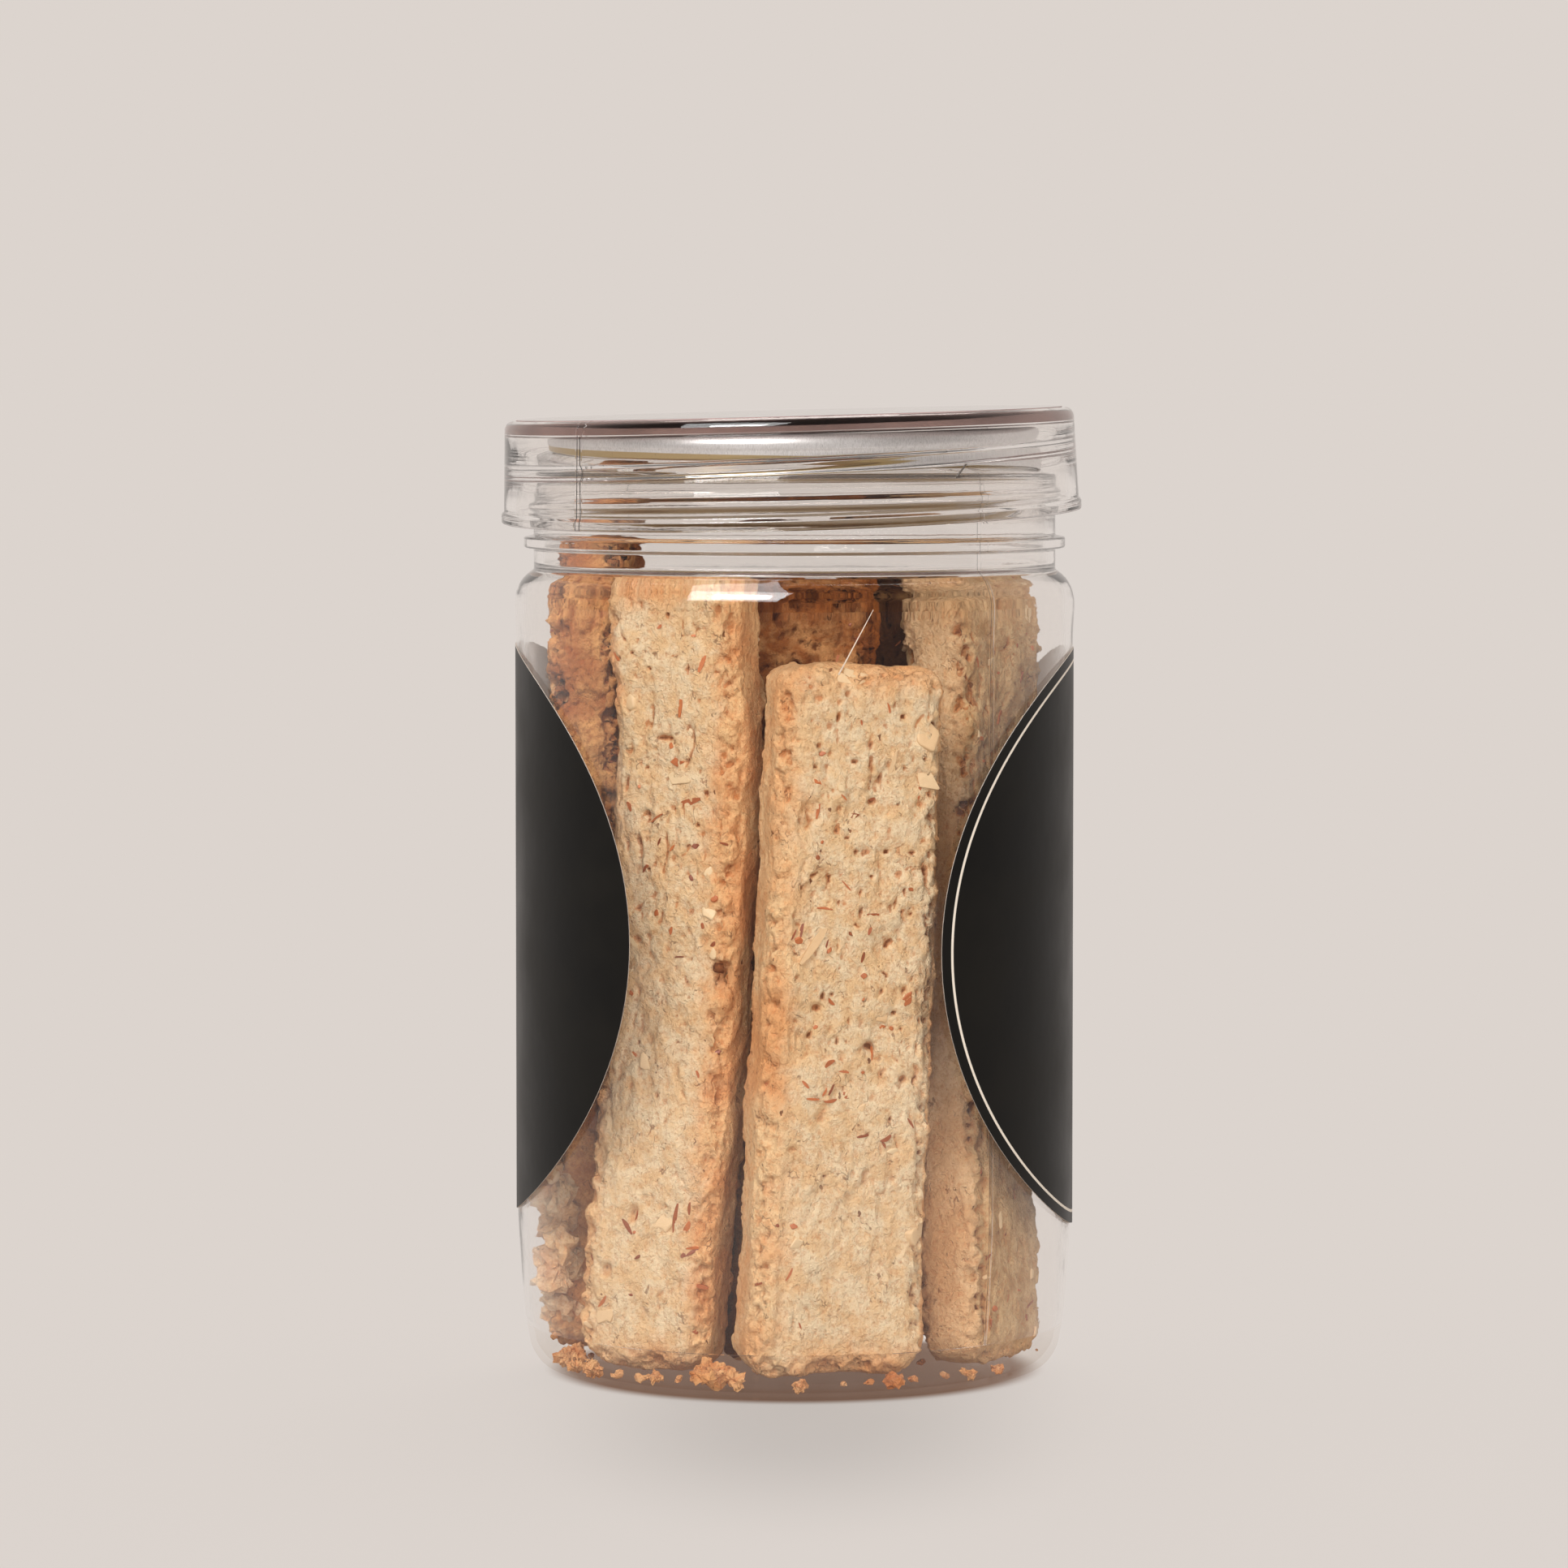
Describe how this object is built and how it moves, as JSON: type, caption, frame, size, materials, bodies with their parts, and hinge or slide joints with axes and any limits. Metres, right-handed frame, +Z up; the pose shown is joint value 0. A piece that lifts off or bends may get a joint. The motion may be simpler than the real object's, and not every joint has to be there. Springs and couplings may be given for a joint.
{
  "type": "jar of almond biscotti",
  "caption": "Shut clear plastic jar with a screw lid, a metal end and round black labels, filled with upright almond biscotti and a few crumbs.",
  "frame": {"origin": "centre of the jar's foot ring, on the surface it stands on", "axes": "+Z up along the jar's axis, -Y the side between the two labels that shows the whole front biscotto, +X to the right seen from the front"},
  "size_m": [0.0885, 0.0885, 0.1479],
  "materials": {
    "clear_jar": "clear, glossy, slightly warm blown plastic",
    "clear_lid": "clear, glossy moulded plastic with thread ridges",
    "metal": "brushed bright metal, gold lacquer underneath",
    "label_black": "satin coated black sticker with a thin cream ring and a pale cut edge",
    "biscotti": "matt crumbly baked dough with almond pieces, toasted crust"
  },
  "bodies": {
    "root": {"jar": "clear_jar", "lid": "clear_lid", "metal_end": "metal", "label_top": "label_black", "label_left": "label_black", "label_right": "label_black", "biscotto_front_left": "biscotti", "biscotto_front_centre": "biscotti", "biscotto_right": "biscotti", "biscotto_left": "biscotti", "biscotto_middle": "biscotti", "biscotto_back_middle": "biscotti", "biscotto_back_left": "biscotti", "biscotto_back_right": "biscotti"}
  },
  "joints": []
}
